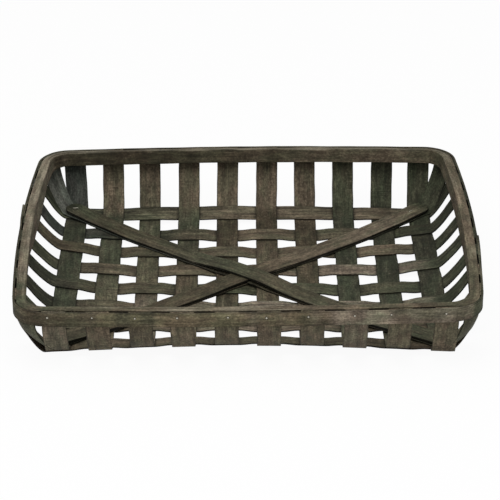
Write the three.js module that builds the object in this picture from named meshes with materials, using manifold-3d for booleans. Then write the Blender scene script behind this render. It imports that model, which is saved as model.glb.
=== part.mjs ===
// Tobacco basket: a shallow rectangular tray of wide flat splints woven over and under, bent up
// into a double rim, with two crossed braces on the base.
// Millimetres, +Z up. X runs along the length, -Y is the front. The origin is on the floor, under
// the middle of the base.

import * as THREE from "three";
import { mergeVertices } from "three/addons/utils/BufferGeometryUtils.js";
import Module from "manifold-3d";

const wasm = await Module();
wasm.setup();

const { sin, cos, tan, atan2, PI, hypot, abs, min, max, floor, sqrt } = Math;
const clamp = (v, low, high) => min(max(v, low), high);
const smooth = (t) => {
  const k = clamp(t, 0, 1);
  return k * k * (3 - 2 * k);
};
const mix = (a, b, t) => a + (b - a) * t;
const vec = (x, y, z) => new THREE.Vector3(x, y, z);
const steps = (from, to, count) =>
  Array.from({ length: count + 1 }, (_, k) => mix(from, to, k / count));

// Weave
const STAKES = 10; // splints that run front to back, counted from the left
const ROWS = 8; // splints that run left to right, counted from the back
const PITCH = 63.5; // from one splint's middle to the next, both ways
const SPLINT_WIDTH = 35;
const SPLINT_THICK = 2.2;
const CLEARANCE = 0.3; // between pieces that lie on each other
const FACET_MARGIN = 1.5; // flat stretch past the edge of the splint that is crossed

// Base, which is flat in the middle and dished at its edges
const FLAT_SHARE = 0.5; // flat part of each half of the base
const CORNER_LIFT = 6.4; // how far each stretch of the edge stands over the middle
const SIDE_LIFT = 13.5;
const FRONT_LIFT = 17;
const BACK_LIFT = 12.5;

// Rim
const RIM_TOP = 102; // over the floor
const LEAN = 48; // how far the walls lean out from the base to the rim
const CORNER_RADIUS = 52;
const LONG_SIDE_TURN = 0.043; // radians that half a long side turns: its outward bow
const SHORT_SIDE_TURN = 0.078;
const BAR_THICK = 14;
const BAR_HEIGHT = 23;
const HOOP_THICK = 3.2;
const HOOP_HEIGHT = 23;
const RIM_CLEARANCE = 0.4; // on each side of a splint end in the rim
const SPLINT_END_DROP = 1; // splint ends stop this far under the rim's top
const WALL_LEAD = 4.5; // splints leave the rim upright for this long
const WALL_EASE = 10; // length of the bends at the foot and head of a wall
const CORNER_EASE = 8.5; // the same for the corner splints
const BAR_SCARF = 90; // length of the slanted joint of the bar's two ends
const BAR_SCARF_AT = 318; // from the middle of the back to that joint's end, along the rim
const HOOP_LAP = 46; // length that the outer hoop's ends overlap
const HOOP_LAP_EASE = 38; // stretch in which the outer end comes down off the inner one
const HOOP_LAP_AT = 77; // the outer end lies this far behind the middle of the left side
const SCARF_TIP = 1.2; // thickness left at a slanted end

// Braces
const BRACE_WIDTH = 34;
const BRACE_THICK = 4;
const BRACE_OVERHANG = 11.5; // from the middle of the corner crossing out to the brace's end
const BRACE_END_TURN = PI / 3; // radians of each rounded corner of a brace's end
const BRACE_BOW = 80; // stretch in which a brace rises to what it crosses
const BRACE_END_RISE = 3.6; // how far its ends ride up on the corner splints' bends
const BRACE_END_RUN = 45; // length of each end that rises
const LAYER_GAP = 0.6; // under each piece that lies on the weave
const CORNER_FOOT = 7; // from the middle of the corner crossing to the corner splint's bend

// Rim nails
const NAIL_RADIUS = 0.9;
const NAIL_HEAD_RADIUS = 2.4;
const NAIL_HEAD_THICK = 0.9;
const NAIL_LENGTH = 16;
const NAIL_POINT = 3;
const NAIL_DROP = 7.5; // from the rim's top to the nails
const NAIL_CLEARANCE = 0.35;
const NAIL_SIDES = 6;
// How far each front nail was driven from its stake's middle, as a share of half the stake's width
const FRONT_NAIL_SHIFTS = [-0.4, -0.3, -0.35, -0.45, 0.15, -0.3, -0.4, -0.2, -0.75, 0.2];

const FACET = SPLINT_WIDTH / 2 + FACET_MARGIN;
const LEVEL = (SPLINT_THICK + CLEARANCE) / 2; // a splint's middle over or under the weave's middle
const WEAVE_HALF = SPLINT_THICK + CLEARANCE / 2;
const BASE_X = ((STAKES - 1) * PITCH + SPLINT_WIDTH) / 2;
const BASE_Y = ((ROWS - 1) * PITCH + SPLINT_WIDTH) / 2;
const SPLINT_OFFSET = HOOP_THICK + RIM_CLEARANCE + SPLINT_THICK / 2;
const BAR_OFFSET = SPLINT_OFFSET + SPLINT_THICK / 2 + RIM_CLEARANCE;
const RIM_X = BASE_X + LEAN + SPLINT_OFFSET;
const RIM_Y = BASE_Y + LEAN + SPLINT_OFFSET;
const WALL_TOP = RIM_TOP - Math.max(BAR_HEIGHT, HOOP_HEIGHT) - WALL_LEAD;

const stakeX = (i) => (i - (STAKES + 1) / 2) * PITCH;
const rowY = (j) => ((ROWS + 1) / 2 - j) * PITCH;
const stakeOnTop = (i, j) => (i + j) % 2 === 1;

// Rim plan

// The rim's outline has long arcs for its four sides and short ones for its corners, each
// tangent to the next, so that a line inside it has the same centres and smaller radii.
function rimArcs() {
  const [s1, c1] = [sin(LONG_SIDE_TURN), cos(LONG_SIDE_TURN)];
  const [s2, c2] = [sin(SHORT_SIDE_TURN), cos(SHORT_SIDE_TURN)];
  const along = RIM_X - CORNER_RADIUS * (c2 - s1);
  const deep = RIM_Y - CORNER_RADIUS * (c1 - s2);
  const det = s1 * s2 - (1 - c2) * (1 - c1);
  const long = (along * s2 - (1 - c2) * deep) / det;
  const short = (s1 * deep - (1 - c1) * along) / det;
  const cornerX = (long - CORNER_RADIUS) * s1;
  const cornerY = RIM_Y - long + (long - CORNER_RADIUS) * c1;
  const cornerTurn = PI / 2 - LONG_SIDE_TURN - SHORT_SIDE_TURN;
  const longSide = (way) => [0, way * (RIM_Y - long), long, 2 * LONG_SIDE_TURN, 8];
  const shortSide = (way) => [way * (RIM_X - short), 0, short, 2 * SHORT_SIDE_TURN, 10];
  const corner = (wayX, wayY) => [wayX * cornerX, wayY * cornerY, CORNER_RADIUS, cornerTurn, 10];
  const arcs = [
    longSide(1),
    corner(1, 1),
    shortSide(1),
    corner(1, -1),
    longSide(-1),
    corner(-1, -1),
    shortSide(-1),
    corner(-1, 1),
  ];
  let facing = -LONG_SIDE_TURN;
  let start = -long * LONG_SIDE_TURN;
  return arcs.map(([x, y, radius, turn, pieces]) => {
    const arc = { x, y, radius, facing, start, length: radius * turn, pieces };
    facing += turn;
    start += arc.length;
    return arc;
  });
}

const ARCS = rimArcs();
const [BACK_SIDE, BACK_RIGHT_CORNER, RIGHT_SIDE] = ARCS;
const LEFT_SIDE = ARCS[6];
const RIM_START = ARCS[0].start;
const RIM_AROUND = ARCS.reduce((sum, arc) => sum + arc.length, 0);

// A place on the rim, from the middle of the back clockwise round as seen from above.
function rimPlace(distance) {
  const d = ((((distance - RIM_START) % RIM_AROUND) + RIM_AROUND) % RIM_AROUND) + RIM_START;
  const arc = ARCS.findLast((a) => a.start <= d) ?? ARCS[0];
  const facing = arc.facing + (d - arc.start) / arc.radius;
  return { arc, out: vec(sin(facing), cos(facing), 0) };
}

function rimPoint(distance, inset, z) {
  const { arc, out } = rimPlace(distance);
  return vec(arc.x, arc.y, z).addScaledVector(out, arc.radius - inset);
}

// How far the rim's line at an inset lies from the middle, to the back and to the right.
function rimHalfDepth(x, inset) {
  const onSide = abs(x) <= (BACK_SIDE.radius - inset) * sin(LONG_SIDE_TURN);
  const arc = onSide ? BACK_SIDE : BACK_RIGHT_CORNER;
  return arc.y + sqrt((arc.radius - inset) ** 2 - (abs(x) - arc.x) ** 2);
}

function rimHalfLength(y, inset) {
  const onSide = abs(y) <= (RIGHT_SIDE.radius - inset) * sin(SHORT_SIDE_TURN);
  const arc = onSide ? RIGHT_SIDE : BACK_RIGHT_CORNER;
  return arc.x + sqrt((arc.radius - inset) ** 2 - (abs(y) - arc.y) ** 2);
}

// Base

// Height of the weave's middle over its flat part.
function lift(x, y) {
  const u = abs(x) / BASE_X;
  const v = abs(y) / BASE_Y;
  const rise = (t) => (max(0, t - FLAT_SHARE) / (1 - FLAT_SHARE)) ** 2;
  const half = CORNER_LIFT / 2;
  const end = y < 0 ? FRONT_LIFT : BACK_LIFT;
  const atSide = half + (SIDE_LIFT - half) * (1 - min(v, 1) ** 2);
  const atEnd = half + (end - half) * (1 - min(u, 1) ** 2);
  return WEAVE_HALF + rise(u) * atSide + rise(v) * atEnd;
}

// Each crossing is a flat facet, which both of its splints follow. It meets the dished base at
// the middles of its edges.
function facet(i, j) {
  const [x, y] = [stakeX(i), rowY(j)];
  const [left, right] = [lift(x - FACET, y), lift(x + FACET, y)];
  const [near, far] = [lift(x, y - FACET), lift(x, y + FACET)];
  const middle = (left + right + near + far) / 2 - lift(x, y);
  const slopeX = (right - left) / (2 * FACET);
  const slopeY = (far - near) / (2 * FACET);
  return (px, py) => middle + slopeX * (px - x) + slopeY * (py - y);
}

// Height of the weave's middle anywhere: on a facet, or on the free stretch between two.
function weaveHeight(x, y) {
  const find = (v, count, at, way) => {
    const k = clamp(floor((v - at(1)) / (way * PITCH)) + 1, 1, count - 1);
    const [a, b] = [at(k) + way * FACET, at(k + 1) - way * FACET];
    const [near, far] = way > 0 ? [min(v, a), max(v, b)] : [max(v, a), min(v, b)];
    return { k, near, far, t: clamp((v - a) / (b - a), 0, 1) };
  };
  const fx = find(x, STAKES, stakeX, 1);
  const fy = find(y, ROWS, rowY, -1);
  const near = mix(
    facet(fx.k, fy.k)(fx.near, fy.near),
    facet(fx.k + 1, fy.k)(fx.far, fy.near),
    fx.t,
  );
  const far = mix(
    facet(fx.k, fy.k + 1)(fx.near, fy.far),
    facet(fx.k + 1, fy.k + 1)(fx.far, fy.far),
    fx.t,
  );
  return mix(near, far, fy.t);
}

// Solids

// Joins sections into one closed body. Point k of a section lies across from its point n - 1 - k.
function loft(sections) {
  const n = sections[0].length;
  const positions = sections.flat().flatMap((p) => [p.x, p.y, p.z]);
  const index = [];
  const quad = (a, b, c, d) => index.push(a, b, c, a, c, d);
  for (let s = 0; s + 1 < sections.length; s++)
    for (let k = 0; k < n; k++) {
      const next = (k + 1) % n;
      quad(s * n + k, s * n + next, (s + 1) * n + next, (s + 1) * n + k);
    }
  const last = (sections.length - 1) * n;
  for (let k = 0; k + 1 < n / 2; k++) {
    quad(n - 1 - k, n - 2 - k, k + 1, k);
    quad(last + k, last + k + 1, last + n - 2 - k, last + n - 1 - k);
  }
  const geometry = new THREE.BufferGeometry();
  geometry.setAttribute("position", new THREE.Float32BufferAttribute(positions, 3));
  geometry.setIndex(index);
  return volume(geometry) < 0 ? flipped(geometry) : geometry;
}

function volume(geometry) {
  const p = geometry.getAttribute("position");
  const corner = (k) => new THREE.Vector3().fromBufferAttribute(p, geometry.index.getX(k));
  let sum = 0;
  for (let k = 0; k < geometry.index.count; k += 3)
    sum += corner(k).dot(corner(k + 1).cross(corner(k + 2))) / 6;
  return sum;
}

function flipped(geometry) {
  const index = Array.from(geometry.index.array);
  for (let k = 0; k < index.length; k += 3)
    [index[k + 1], index[k + 2]] = [index[k + 2], index[k + 1]];
  geometry.setIndex(index);
  return geometry;
}

// A thin strip on both sides of a middle surface, given as lines of points across it. Where the
// surface bends from one line to the next, the strip's corners are mitred.
function strip(lines, thick) {
  const between = (a, b) => b.clone().sub(a).normalize();
  const sections = lines.map((line, s) => {
    const before = lines[s - 1];
    const after = lines[s + 1];
    const halves = line.map((p, c) => {
      const back = before ? between(before[c], p) : between(p, after[c]);
      const ahead = after ? between(p, after[c]) : back;
      const mitre = sqrt((1 + back.dot(ahead)) / 2);
      const side = between(line[max(c - 1, 0)], line[min(c + 1, line.length - 1)]);
      const up = back.clone().add(ahead).cross(side).normalize();
      return up.multiplyScalar(thick / 2 / mitre);
    });
    const upper = line.map((p, c) => p.clone().add(halves[c]));
    const lower = line.map((p, c) => p.clone().sub(halves[c]));
    return [...upper, ...lower.reverse()];
  });
  return loft(sections);
}

function solidOf(geometry) {
  const bare = geometry.clone();
  for (const name of ["normal", "uv"]) bare.deleteAttribute(name);
  const merged = mergeVertices(bare, 1e-4);
  return new wasm.Manifold(
    new wasm.Mesh({
      numProp: 3,
      vertProperties: new Float32Array(merged.getAttribute("position").array),
      triVerts: new Uint32Array(merged.index.array),
    }),
  );
}

function cut(geometry, tools) {
  if (!tools.length) return geometry;
  const whole = tools.reduce((rest, tool) => rest.subtract(solidOf(tool)), solidOf(geometry));
  const mesh = whole.getMesh();
  const result = new THREE.BufferGeometry();
  result.setAttribute("position", new THREE.Float32BufferAttribute(mesh.vertProperties, 3));
  result.setIndex(Array.from(mesh.triVerts));
  return result;
}

// Splints

// A wall's middle line from the foot, where it leaves the base, up to its end in the rim.
function wall(foot, outward, head, ease) {
  const bend = new THREE.CubicBezierCurve3(
    foot,
    foot.clone().addScaledVector(outward, ease),
    vec(head.x, head.y, WALL_TOP - ease),
    vec(head.x, head.y, WALL_TOP),
  );
  return [...bend.getPoints(7).slice(1), vec(head.x, head.y, RIM_TOP - SPLINT_END_DROP)];
}

// The end splints reach into the rim's rounded corners, so they are divided across.
const widths = (endmost) => steps(-SPLINT_WIDTH / 2, SPLINT_WIDTH / 2, endmost ? 3 : 1);

// A splint from rim to rim. point(a, c) gives a place on its middle surface from the distances
// along and across it, and head(c, way) the place of its end in the rim.
function splint(places, point, head, across, ease = WALL_EASE) {
  const wallLines = (way) => {
    const edge = way < 0 ? places[0] : places.at(-1);
    const columns = across.map((c) => {
      const foot = point(edge, c);
      const outward = foot.clone().sub(point(edge - (way * SPLINT_WIDTH) / 4, c)).normalize();
      return wall(foot, outward, head(c, way), ease);
    });
    return columns[0].map((_, s) => columns.map((column) => column[s]));
  };
  const base = places.map((a) => across.map((c) => point(a, c)));
  return strip([...wallLines(-1).reverse(), ...base, ...wallLines(1)], SPLINT_THICK);
}

const facetEdges = (crossings) => crossings.flatMap((a) => [a - FACET, a + FACET]);
const closest = (v, from, at) =>
  from.reduce((a, b) => (abs(at(b) - v) < abs(at(a) - v) ? b : a));

function stake(i) {
  const x = stakeX(i);
  const rows = Array.from({ length: ROWS }, (_, k) => ROWS - k);
  const point = (y, c) => {
    const j = closest(y, rows, rowY);
    return vec(x + c, y, facet(i, j)(x + c, y) + (stakeOnTop(i, j) ? LEVEL : -LEVEL));
  };
  const head = (c, way) => vec(x + c, way * rimHalfDepth(x + c, SPLINT_OFFSET), 0);
  return splint(facetEdges(rows.map(rowY)), point, head, widths(i === 1 || i === STAKES));
}

function row(j) {
  const y = rowY(j);
  const stakes = Array.from({ length: STAKES }, (_, k) => k + 1);
  const point = (x, c) => {
    const i = closest(x, stakes, stakeX);
    return vec(x, y + c, facet(i, j)(x, y + c) + (stakeOnTop(i, j) ? -LEVEL : LEVEL));
  };
  const head = (c, way) => vec(way * rimHalfLength(y + c, SPLINT_OFFSET), y + c, 0);
  return splint(facetEdges(stakes.map(stakeX)), point, head, widths(j === 1 || j === ROWS));
}

// Diagonal pieces

// The diagonals run through the corner crossings. way is 1 for the one that goes to the back
// right, and -1 for the one to the back left.
const DIAGONAL = atan2(rowY(1), stakeX(STAKES));
const CORNER_REACH = hypot(stakeX(STAKES), rowY(1));
const diagonalPlace = (q, c, way) => [
  way * (q * cos(DIAGONAL) - c * sin(DIAGONAL)),
  q * sin(DIAGONAL) + c * cos(DIAGONAL),
];

// Half of the length on which two crossed strips of one width lie on each other.
const crossedHalf = (width) =>
  (width / sin(2 * DIAGONAL) + width / abs(tan(2 * DIAGONAL))) / 2 + FACET_MARGIN;

// Rise of a strip over what it crosses in the middle of the basket.
function hump(q, flat, run, height) {
  return height * (1 - smooth((abs(q) - flat) / run));
}

// A corner splint lies on the weave, and its ends bend across as they go into the rim's corners.
function cornerSplint(way, over) {
  const layer = WEAVE_HALF + LAYER_GAP + SPLINT_THICK / 2;
  const rise = over ? SPLINT_THICK + LAYER_GAP : 0;
  const flat = crossedHalf(SPLINT_WIDTH);
  const point = (q, c) => {
    const [x, y] = diagonalPlace(q, c, way);
    return vec(x, y, weaveHeight(x, y) + layer + hump(q, flat, PITCH / 2, rise));
  };
  const { x, y, radius, facing, length } = BACK_RIGHT_CORNER;
  const inner = radius - SPLINT_OFFSET;
  const head = (c, end) => {
    const turn = facing + length / radius / 2 - (end * c) / inner;
    return vec(end * way * (x + inner * sin(turn)), end * (y + inner * cos(turn)), 0);
  };
  const foot = CORNER_REACH + CORNER_FOOT;
  const across = steps(-SPLINT_WIDTH / 2, SPLINT_WIDTH / 2, 4);
  return splint(steps(-foot, foot, 32), point, head, across, CORNER_EASE);
}

// A brace lies on its corner splint and is stiff, so it is level across. It rises over the other
// corner splint, and the upper brace rises over the lower one as well.
function brace(way, over) {
  const layer = WEAVE_HALF + 2 * LAYER_GAP + SPLINT_THICK + BRACE_THICK / 2;
  const rise = SPLINT_THICK + LAYER_GAP + (over ? BRACE_THICK + LAYER_GAP : 0);
  const flat = crossedHalf(max(BRACE_WIDTH, SPLINT_WIDTH));
  const half = BRACE_WIDTH / 2;
  const across = steps(-half, half, 4);
  const tip = CORNER_REACH + BRACE_OVERHANG;
  const height = (q) =>
    layer +
    hump(q, flat, BRACE_BOW, rise) +
    BRACE_END_RISE * smooth((abs(q) - tip) / BRACE_END_RUN + 1) +
    max(...across.map((c) => weaveHeight(...diagonalPlace(q, c, way))));
  const shoulder = tip - half * sin(BRACE_END_TURN);
  const end = steps(0, BRACE_END_TURN, 4).map((a) => [shoulder + half * sin(a), half * cos(a)]);
  const middle = steps(-shoulder, shoulder, 26).slice(1, -1).map((q) => [q, half]);
  const start = end.map(([q, wide]) => [-q, wide]).reverse();
  const lines = [...start, ...middle, ...end].map(([q, wide]) =>
    [-wide, wide].map((c) => vec(...diagonalPlace(q, c, way), height(q))),
  );
  return strip(lines, BRACE_THICK);
}

// Rim

// Stations along the rim from one distance to another: the arcs' own divisions and both ends.
function stations(from, to, extra = []) {
  const all = new Set([from, to, ...extra]);
  for (const turn of [-1, 0, 1, 2])
    for (const arc of ARCS)
      for (let k = 0; k < arc.pieces; k++)
        all.add(arc.start + turn * RIM_AROUND + (arc.length * k) / arc.pieces);
  const kept = new Set([from, to, ...extra]);
  const crowded = (d) => [...kept].some((k) => k !== d && abs(k - d) < 1);
  return [...all]
    .filter((d) => d >= from && d <= to && (kept.has(d) || !crowded(d)))
    .sort((a, b) => a - b);
}

function ring(distances, faces, top, height) {
  return loft(
    distances.map((d) => {
      const [outer, inner] = faces(d);
      return [
        rimPoint(d, outer, top),
        rimPoint(d, inner, top),
        rimPoint(d, inner, top - height),
        rimPoint(d, outer, top - height),
      ];
    }),
  );
}

// The bar's ends are slanted and lie on each other: its start on the outside, its end inside.
function rimBar() {
  const start = BAR_SCARF_AT - BAR_SCARF;
  const end = start + RIM_AROUND + BAR_SCARF;
  const [outer, inner] = [BAR_OFFSET, BAR_OFFSET + BAR_THICK];
  const slant = (d) => mix(outer + SCARF_TIP, inner - SCARF_TIP, clamp(d / BAR_SCARF, 0, 1));
  const half = CLEARANCE / 2;
  const [slantEnd, slantStart] = [start + BAR_SCARF, end - BAR_SCARF];
  const faces = (d) => {
    if (d <= slantEnd) return [outer, slant(d - start) - half];
    if (d >= slantStart) return [slant(d - slantStart) + half, inner];
    return [outer, inner];
  };
  const step = 2 * CLEARANCE;
  const edges = [slantEnd, slantEnd + step, slantStart - step, slantStart];
  return ring(stations(start, end, edges), faces, RIM_TOP, BAR_HEIGHT);
}

// The outer hoop's outer end lies on its inner end, and comes down to the splints in front of it.
// This is how far it stands out at a distance in front of its outer end.
function hoopOutset(front) {
  return (HOOP_THICK + RIM_CLEARANCE) * (1 - smooth((front - HOOP_LAP) / HOOP_LAP_EASE));
}

function outerHoop() {
  const outerEnd = LEFT_SIDE.start + LEFT_SIDE.length / 2 + HOOP_LAP_AT;
  const innerEnd = outerEnd - RIM_AROUND - HOOP_LAP;
  const eased = steps(HOOP_LAP, HOOP_LAP + HOOP_LAP_EASE, 4).map((front) => outerEnd - front);
  const faces = (d) => {
    const out = hoopOutset(outerEnd - d);
    return [-out, HOOP_THICK - out];
  };
  return ring(stations(innerEnd, outerEnd, eased), faces, RIM_TOP, HOOP_HEIGHT);
}

// Nails

// One nail for each splint end. foot is on the outer hoop's face, and out points away from it.
const nails = [];
for (const way of [-1, 1]) {
  for (let i = 1; i <= STAKES; i++) {
    const shift = way < 0 ? FRONT_NAIL_SHIFTS[(i - 1) % FRONT_NAIL_SHIFTS.length] : 0;
    const x = stakeX(i) + (shift * SPLINT_WIDTH) / 2;
    const out = vec(x / BACK_SIDE.radius, way, 0).normalize();
    const foot = vec(x, way * rimHalfDepth(x, 0), RIM_TOP - NAIL_DROP);
    nails.push({ name: `nail_${way < 0 ? "front" : "back"}_${i}`, stake: i, foot, out });
  }
  for (let j = 1; j <= ROWS; j++) {
    const y = rowY(j);
    const out = vec(way, y / RIGHT_SIDE.radius, 0).normalize();
    const foot = vec(way * rimHalfLength(y, 0), y, RIM_TOP - NAIL_DROP);
    const front = HOOP_LAP_AT - y;
    if (way < 0 && front > 0) foot.addScaledVector(out, hoopOutset(front));
    nails.push({ name: `nail_${way < 0 ? "left" : "right"}_${j}`, row: j, foot, out });
  }
}

function turnedTo(geometry, foot, out) {
  geometry.applyQuaternion(new THREE.Quaternion().setFromUnitVectors(vec(0, 1, 0), out));
  return geometry.translate(foot.x, foot.y, foot.z);
}

function nailGeometry() {
  const profile = [
    [0, -NAIL_LENGTH],
    [NAIL_RADIUS, NAIL_POINT - NAIL_LENGTH],
    [NAIL_RADIUS, CLEARANCE],
    [NAIL_HEAD_RADIUS, CLEARANCE],
    [NAIL_HEAD_RADIUS, CLEARANCE + NAIL_HEAD_THICK],
    [0, CLEARANCE + NAIL_HEAD_THICK],
  ];
  return new THREE.LatheGeometry(profile.map(([x, y]) => new THREE.Vector2(x, y)), NAIL_SIDES);
}

function nailHole({ foot, out }) {
  const r = NAIL_RADIUS + NAIL_CLEARANCE;
  const length = NAIL_LENGTH + CLEARANCE + HOOP_THICK;
  const hole = new THREE.CylinderGeometry(r, r, length, NAIL_SIDES);
  hole.translate(0, HOOP_THICK - length / 2, 0);
  return turnedTo(hole, foot, out);
}

// Assembly

const basket = new THREE.Group();

function add(name, geometry, colour, roughness, metalness = 0) {
  geometry.computeVertexNormals();
  const material = new THREE.MeshStandardMaterial({ color: colour, roughness, metalness });
  const mesh = new THREE.Mesh(geometry, material);
  mesh.name = name;
  basket.add(mesh);
}

const STAINS = [0x584e44, 0x424438, 0x4d4a3e, 0x3a3a31];
const stain = (k) => STAINS[k % STAINS.length];

for (let i = 1; i <= STAKES; i++) {
  const holes = nails.filter((nail) => nail.stake === i).map(nailHole);
  add(`stake_${i}`, cut(stake(i), holes), stain(i), 0.75);
}
for (let j = 1; j <= ROWS; j++) {
  const holes = nails.filter((nail) => nail.row === j).map(nailHole);
  add(`row_${j}`, cut(row(j), holes), stain(j + 2), 0.75);
}
add("corner_splint_back_left", cornerSplint(-1, true), 0x464644, 0.78);
add("corner_splint_back_right", cornerSplint(1, false), 0x464644, 0.78);
add("brace_back_right", brace(1, false), 0x4f4a40, 0.7);
add("brace_back_left", brace(-1, true), 0x544d42, 0.7);
add("rim_bar", cut(rimBar(), nails.map(nailHole)), 0x5a5248, 0.7);
add("outer_hoop", cut(outerHoop(), nails.map(nailHole)), 0x4c473c, 0.72);
for (const { name, foot, out } of nails)
  add(name, turnedTo(nailGeometry(), foot, out), 0x9a958c, 0.45, 0.9);

export default basket;
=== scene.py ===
from math import atan2, cos, hypot, pi, sin, tan

import bmesh
import bpy
import numpy as np
from mathutils import Matrix, Vector


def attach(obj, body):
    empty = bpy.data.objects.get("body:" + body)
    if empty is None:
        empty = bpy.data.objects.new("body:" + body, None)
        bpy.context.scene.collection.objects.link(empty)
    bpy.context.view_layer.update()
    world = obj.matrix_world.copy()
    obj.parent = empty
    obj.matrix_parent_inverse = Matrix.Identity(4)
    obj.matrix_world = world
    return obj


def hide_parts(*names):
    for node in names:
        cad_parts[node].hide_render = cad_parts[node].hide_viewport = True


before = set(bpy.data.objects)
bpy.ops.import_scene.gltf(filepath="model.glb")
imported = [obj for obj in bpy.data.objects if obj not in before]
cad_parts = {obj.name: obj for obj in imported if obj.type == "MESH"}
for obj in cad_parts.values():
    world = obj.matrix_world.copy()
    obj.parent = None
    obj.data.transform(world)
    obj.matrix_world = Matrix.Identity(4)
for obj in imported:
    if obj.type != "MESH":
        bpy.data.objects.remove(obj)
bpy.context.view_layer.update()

MM = 0.001

# Weave
STAKES = 10
ROWS = 8
PITCH = 63.5
# A plain splint's width, which gives the base's edge, and how wide the stakes and rows are.
SPLINT_WIDTH = 35.0
STAKE_WIDTH = 35.5
ROW_WIDTH = 35.7
SPLINT_THICK = 2.2
CLEARANCE = 0.3
# How far each row's middle goes over and under the weave's middle. The stakes do the rest.
ROW_LEVELS = [0.35, 1.25, 1.35, 1.11, 1.39, 1.59, 1.32, 0.96]
# A splint stays level this far past the edges of what it crosses.
FACET_MARGIN = 1.5
SPLINT_ARRIS = 0.6
SPLINT_END_ARRIS = 0.5
# Where the lines across a rounded arris lie, as shares of it.
ARRIS_STEPS = np.array([0, 0.07, 0.3, 0.65, 1])
# How far a board's sides wander.
BOARD_STRAY = 0.35
# How many stations a board has on the base, and a splint on each wall.
STAKE_STATIONS = 121
ROW_STATIONS = 153
CORNER_STATIONS = 165
BRACE_STATIONS = 120
WALL_STATIONS = 22
# Where a wall is free to warp, down from the rim's top: start, ease, end and ease.
WALL_FREE = (28.0, 20.0, 60.0, 25.0)
WALL_WARP = 0.5
WALL_CUP = 0.25

# Base: flat in its middle share, and rising from there to these heights at its edges
FLAT_SHARE = 0.51
LIFT_POWER = 2.09
CORNER_LIFT = 6.7
LEFT_LIFT = 13.9
RIGHT_LIFT = 12.4
FRONT_LIFT = 16.8
BACK_LIFT = 12.6

# Rim
RIM_TOP = 102.6
RIM_CENTRE = (-0.2, -1.4)
# How far the walls lean out, at the long sides and at the short ones.
LEAN_LONG = 49.6
LEAN_SHORT = 48.8
CORNER_RADIUS = 51.5
# Half of the angle through which each side is bowed.
LONG_SIDE_TURN = 0.0454
SHORT_SIDE_TURN = 0.0803
RIM_HEIGHT = 22.65
BAR_THICK = 14.4
HOOP_THICK = 3.2
RIM_CLEARANCE = 0.15
# A wall is upright from this far under the rim, and bends there over about this height.
WALL_LEAD = 3.0
WALL_EASE = 10.3
# How much higher the rim is at its right and at its back, how far it is twisted, and how far its
# front and back sides are crowned. The spans are from its middle to its sides.
TILT_SPANS = (350.0, 290.0)
TILT_RIGHT = 3.26
TILT_BACK = 1.0
TILT_TWIST = 0.39
CROWN_FRONT = -0.5
CROWN_BACK = 1.3
RIM_BULGE = 0.25
RIM_RIPPLE = 0.3
BAR_ARRIS = 0.9
HOOP_ARRIS = 0.7
BAR_STEP = 6.0
HOOP_STEP = 4.0
# The bar stands this far off the splints at the front, and its inner face by a share of it.
BAR_SLACK = 3.4
BAR_SLACK_INSIDE = 0.7
BAR_SLACK_FROM = -250.0
BAR_SLACK_EASE = 25.0
# In both front corners the bar closes up to the hoop, over the ends of the corner splints. The
# first is the gap, and the others are shares of the corner's length.
CLOSED_GAP = 0.4
CLOSED_FROM = 0.03
CLOSED_EASE = 0.2
# How far the bar's inner face leans out at the top, in degrees, from front to back.
BAR_LEAN_AT = (-290, -127, -63, 0, 63, 127, 190, 290)
LEFT_BAR_LEANS = (-2, -3, -3, 10, 17, 13, 3, 13)
RIGHT_BAR_LEANS = (-2, 1, 6, 10, 10, 10, 11, 13)
# Behind this place the whole bar leans, and not only its inner face.
WHOLE_LEAN_FROM = 190.0
WHOLE_LEAN_EASE = 80.0
BAR_SCARF = 90.0
BAR_SCARF_AT = 318.0
SCARF_TIP = 1.2
HOOP_LAP = 40.4
HOOP_LAP_EASE = 45.0
HOOP_LAP_AT = 77.9
HOOP_LAP_TIP = 1.7
# The hoop's stain is multiplied by this at its top and at its foot.
HOOP_SHADES = (1.04, 0.84)

# Diagonals
CORNER_WIDTH = 35.0
BRACE_WIDTH = 33.6
BRACE_THICK = 4.0
BRACE_ARRIS = 0.7
# How far a brace's end is rounded, where 1 is a half circle.
BRACE_ROUNDING = 0.86
BRACE_OVERHANG = 14.0
BRACE_BOW = 87.0
BRACE_END_RUN = 70.0
LAYER_GAP = 0.25
CORNER_FOOT = 14.0
# Of each end of a corner splint: how much further out it bends, how soft the bend is, and how
# far along the rim its head is shifted.
CORNER_BENDS = {
    "front_right": (1.5, 17.0, 2.2),
    "front_left": (-0.1, 13.8, -2.9),
    "back_right": (1.6, 9.9, -2.0),
    "back_left": (0.8, 15.0, -0.6),
}

# Nails and staples
NAIL_DROP = 7.5
NAIL_LENGTH = 16.0
NAIL_RADIUS = 0.9
NAIL_HEAD_RADIUS = 2.1
NAIL_HEAD_THICK = 0.8
# How far to the right of the middle each front nail is.
FRONT_NAILS = [-292.8, -227.5, -165.0, -103.2, -29.2, 27.0, 88.0, 155.5, 208.8, 289.0]
STAPLE_WIDTH = 9.0
STAPLE_WIRE = 0.55

# How a stake strays from its even place: its middle, its front and back ends, its turn, its width.
STAKE_STRAYS = [
    (1.1, -0.2, -4.0, -0.7, 0.4),
    (0.1, 0.0, -1.2, -2.0, 0.0),
    (-1.0, -0.2, -1.1, -2.9, -0.1),
    (-1.1, -0.5, 0.1, -0.8, -0.1),
    (-0.4, 0.4, 0.9, -0.7, 0.1),
    (0.4, -0.3, 1.3, 0.8, 0.0),
    (1.2, -0.8, 0.0, 1.1, -0.1),
    (1.6, -0.3, 0.7, 1.4, -0.2),
    (2.4, 0.0, 2.1, 1.7, 0.1),
    (3.9, 0.0, 1.5, -1.5, 0.3),
]
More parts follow.
